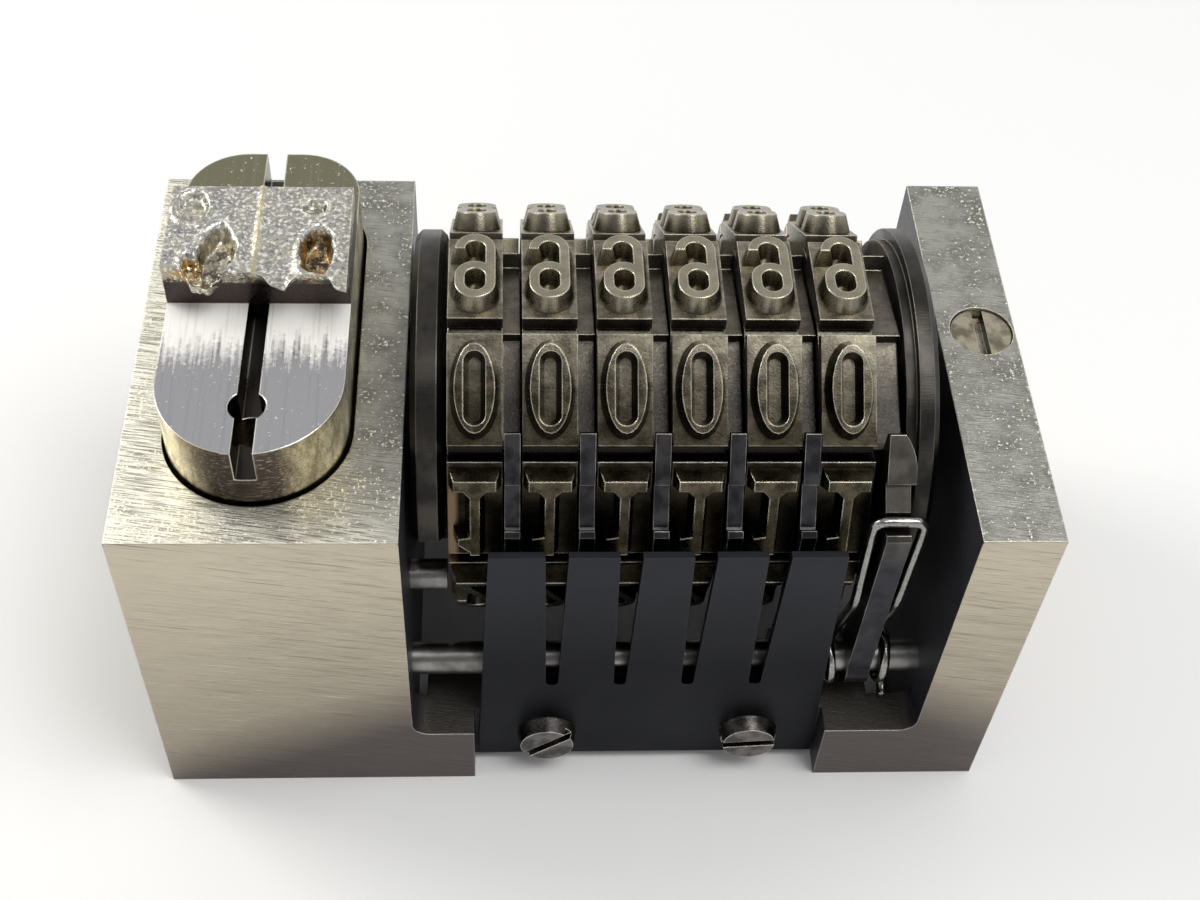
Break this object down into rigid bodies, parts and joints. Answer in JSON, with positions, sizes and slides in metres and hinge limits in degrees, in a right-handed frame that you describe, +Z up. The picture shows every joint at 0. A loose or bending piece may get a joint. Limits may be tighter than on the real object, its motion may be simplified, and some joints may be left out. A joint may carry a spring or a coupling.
{
  "type": "letterpress numbering machine",
  "caption": "Letterpress numbering machine: figure wheels with ratchets and sprung pawls in a milled steel case, turned one figure at a time by a sprung plunger.",
  "frame": {"origin": "centre of the case's foot, on the surface that it stands on", "axes": "+X along the line of figures with the plunger at the low end, +Y from the comb spring to the back, +Z up to the figures that print"},
  "size_m": [0.0382, 0.0208, 0.0242],
  "materials": {
    "case_steel": "ground",
    "pin_steel": "polished",
    "screw_steel": "turned",
    "arm_steel": "satin",
    "comb_steel": "blackened",
    "spring_wire": "drawn",
    "plunger_steel": "milled",
    "slug_steel": "pitted",
    "pawl_steel": "satin",
    "figure_steel": "worn"
  },
  "bodies": {
    "case": {"case_frame": "case_steel", "wheel_shaft": "pin_steel", "shaft_lock_screw": "screw_steel", "spacer_collar": "arm_steel", "pawl_rod": "pin_steel", "stop_pin": "pin_steel", "comb_spring": "comb_steel", "comb_screws": "screw_steel", "plunger_spring_front": "spring_wire", "plunger_spring_rear": "spring_wire"},
    "plunger_group": {"plunger": "plunger_steel", "plunger_slug": "slug_steel"},
    "swing": {"left_swing_arm": "arm_steel", "right_swing_arm": "arm_steel", "swing_bar": "pin_steel", "drive_stud": "pin_steel"},
    "drive_pawl_group": {"drive_pawl": "pawl_steel", "drive_pawl_spring": "spring_wire"},
    "wheel_1_body": {"wheel_1": "figure_steel"},
    "wheel_2_body": {"wheel_2": "figure_steel"},
    "wheel_3_body": {"wheel_3": "figure_steel"},
    "wheel_4_body": {"wheel_4": "figure_steel"},
    "wheel_5_body": {"wheel_5": "figure_steel"},
    "units_wheel_body": {"units_wheel": "figure_steel"},
    "pawl_1_body": {"pawl_1": "pawl_steel"},
    "pawl_2_body": {"pawl_2": "pawl_steel"},
    "pawl_3_body": {"pawl_3": "pawl_steel"},
    "pawl_4_body": {"pawl_4": "pawl_steel"},
    "pawl_5_body": {"pawl_5": "pawl_steel"},
    "units_pawl_body": {"units_pawl": "pawl_steel", "units_pawl_spring": "spring_wire"}
  },
  "joints": [
    {"name": "plunger_slide", "type": "slide", "parent": "case", "child": "plunger_group", "axis": [0, 0, -1], "range_m": [0, 0.0022], "stiffness_N_per_m": 2000, "springref_m": -0.002, "deforming": ["plunger_spring_front", "plunger_spring_rear"]},
    {"name": "swing_turn", "type": "hinge", "parent": "case", "child": "swing", "pos_m": [0, 0.0005, 0.0144], "axis": [-1, 0, 0], "range_deg": [0, 38]},
    {"name": "drive_pawl_turn", "type": "hinge", "parent": "swing", "child": "drive_pawl_group", "pos_m": [0, 0.00753, 0.00659], "axis": [-1, 0, 0], "range_deg": [0, 4.5], "stiffness_Nm_per_rad": 0.002, "springref_deg": -11.46},
    {"name": "wheel_1_turn", "type": "hinge", "parent": "case", "child": "wheel_1_body", "pos_m": [-0.00468, 0.0005, 0.0144], "axis": [-1, 0, 0], "continuous": true},
    {"name": "wheel_2_turn", "type": "hinge", "parent": "case", "child": "wheel_2_body", "pos_m": [-0.00162, 0.0005, 0.0144], "axis": [-1, 0, 0], "continuous": true},
    {"name": "wheel_3_turn", "type": "hinge", "parent": "case", "child": "wheel_3_body", "pos_m": [0.00145, 0.0005, 0.0144], "axis": [-1, 0, 0], "continuous": true},
    {"name": "wheel_4_turn", "type": "hinge", "parent": "case", "child": "wheel_4_body", "pos_m": [0.00451, 0.0005, 0.0144], "axis": [-1, 0, 0], "continuous": true},
    {"name": "wheel_5_turn", "type": "hinge", "parent": "case", "child": "wheel_5_body", "pos_m": [0.00758, 0.0005, 0.0144], "axis": [-1, 0, 0], "continuous": true},
    {"name": "units_wheel_turn", "type": "hinge", "parent": "case", "child": "units_wheel_body", "pos_m": [0.01064, 0.0005, 0.0144], "axis": [-1, 0, 0], "continuous": true},
    {"name": "pawl_1_turn", "type": "hinge", "parent": "case", "child": "pawl_1_body", "pos_m": [-0.00318, -0.00775, 0.0063], "axis": [1, 0, 0], "range_deg": [0, 2.7], "stiffness_Nm_per_rad": 0.001, "springref_deg": -11.46},
    {"name": "pawl_2_turn", "type": "hinge", "parent": "case", "child": "pawl_2_body", "pos_m": [-0.00012, -0.00775, 0.0063], "axis": [1, 0, 0], "range_deg": [0, 2.7], "stiffness_Nm_per_rad": 0.001, "springref_deg": -11.46},
    {"name": "pawl_3_turn", "type": "hinge", "parent": "case", "child": "pawl_3_body", "pos_m": [0.00295, -0.00775, 0.0063], "axis": [1, 0, 0], "range_deg": [0, 2.7], "stiffness_Nm_per_rad": 0.001, "springref_deg": -11.46},
    {"name": "pawl_4_turn", "type": "hinge", "parent": "case", "child": "pawl_4_body", "pos_m": [0.00601, -0.00775, 0.0063], "axis": [1, 0, 0], "range_deg": [0, 2.7], "stiffness_Nm_per_rad": 0.001, "springref_deg": -11.46},
    {"name": "pawl_5_turn", "type": "hinge", "parent": "case", "child": "pawl_5_body", "pos_m": [0.00907, -0.00775, 0.0063], "axis": [1, 0, 0], "range_deg": [0, 2.7], "stiffness_Nm_per_rad": 0.001, "springref_deg": -11.46},
    {"name": "units_pawl_turn", "type": "hinge", "parent": "case", "child": "units_pawl_body", "pos_m": [0.01214, -0.00775, 0.0063], "axis": [1, 0, 0], "range_deg": [0, 2.7], "stiffness_Nm_per_rad": 0.001, "springref_deg": -11.46}
  ],
  "couplings": [
    {"joint": "swing_turn", "follows": "plunger_slide", "rad_per_m": 301.4}
  ]
}
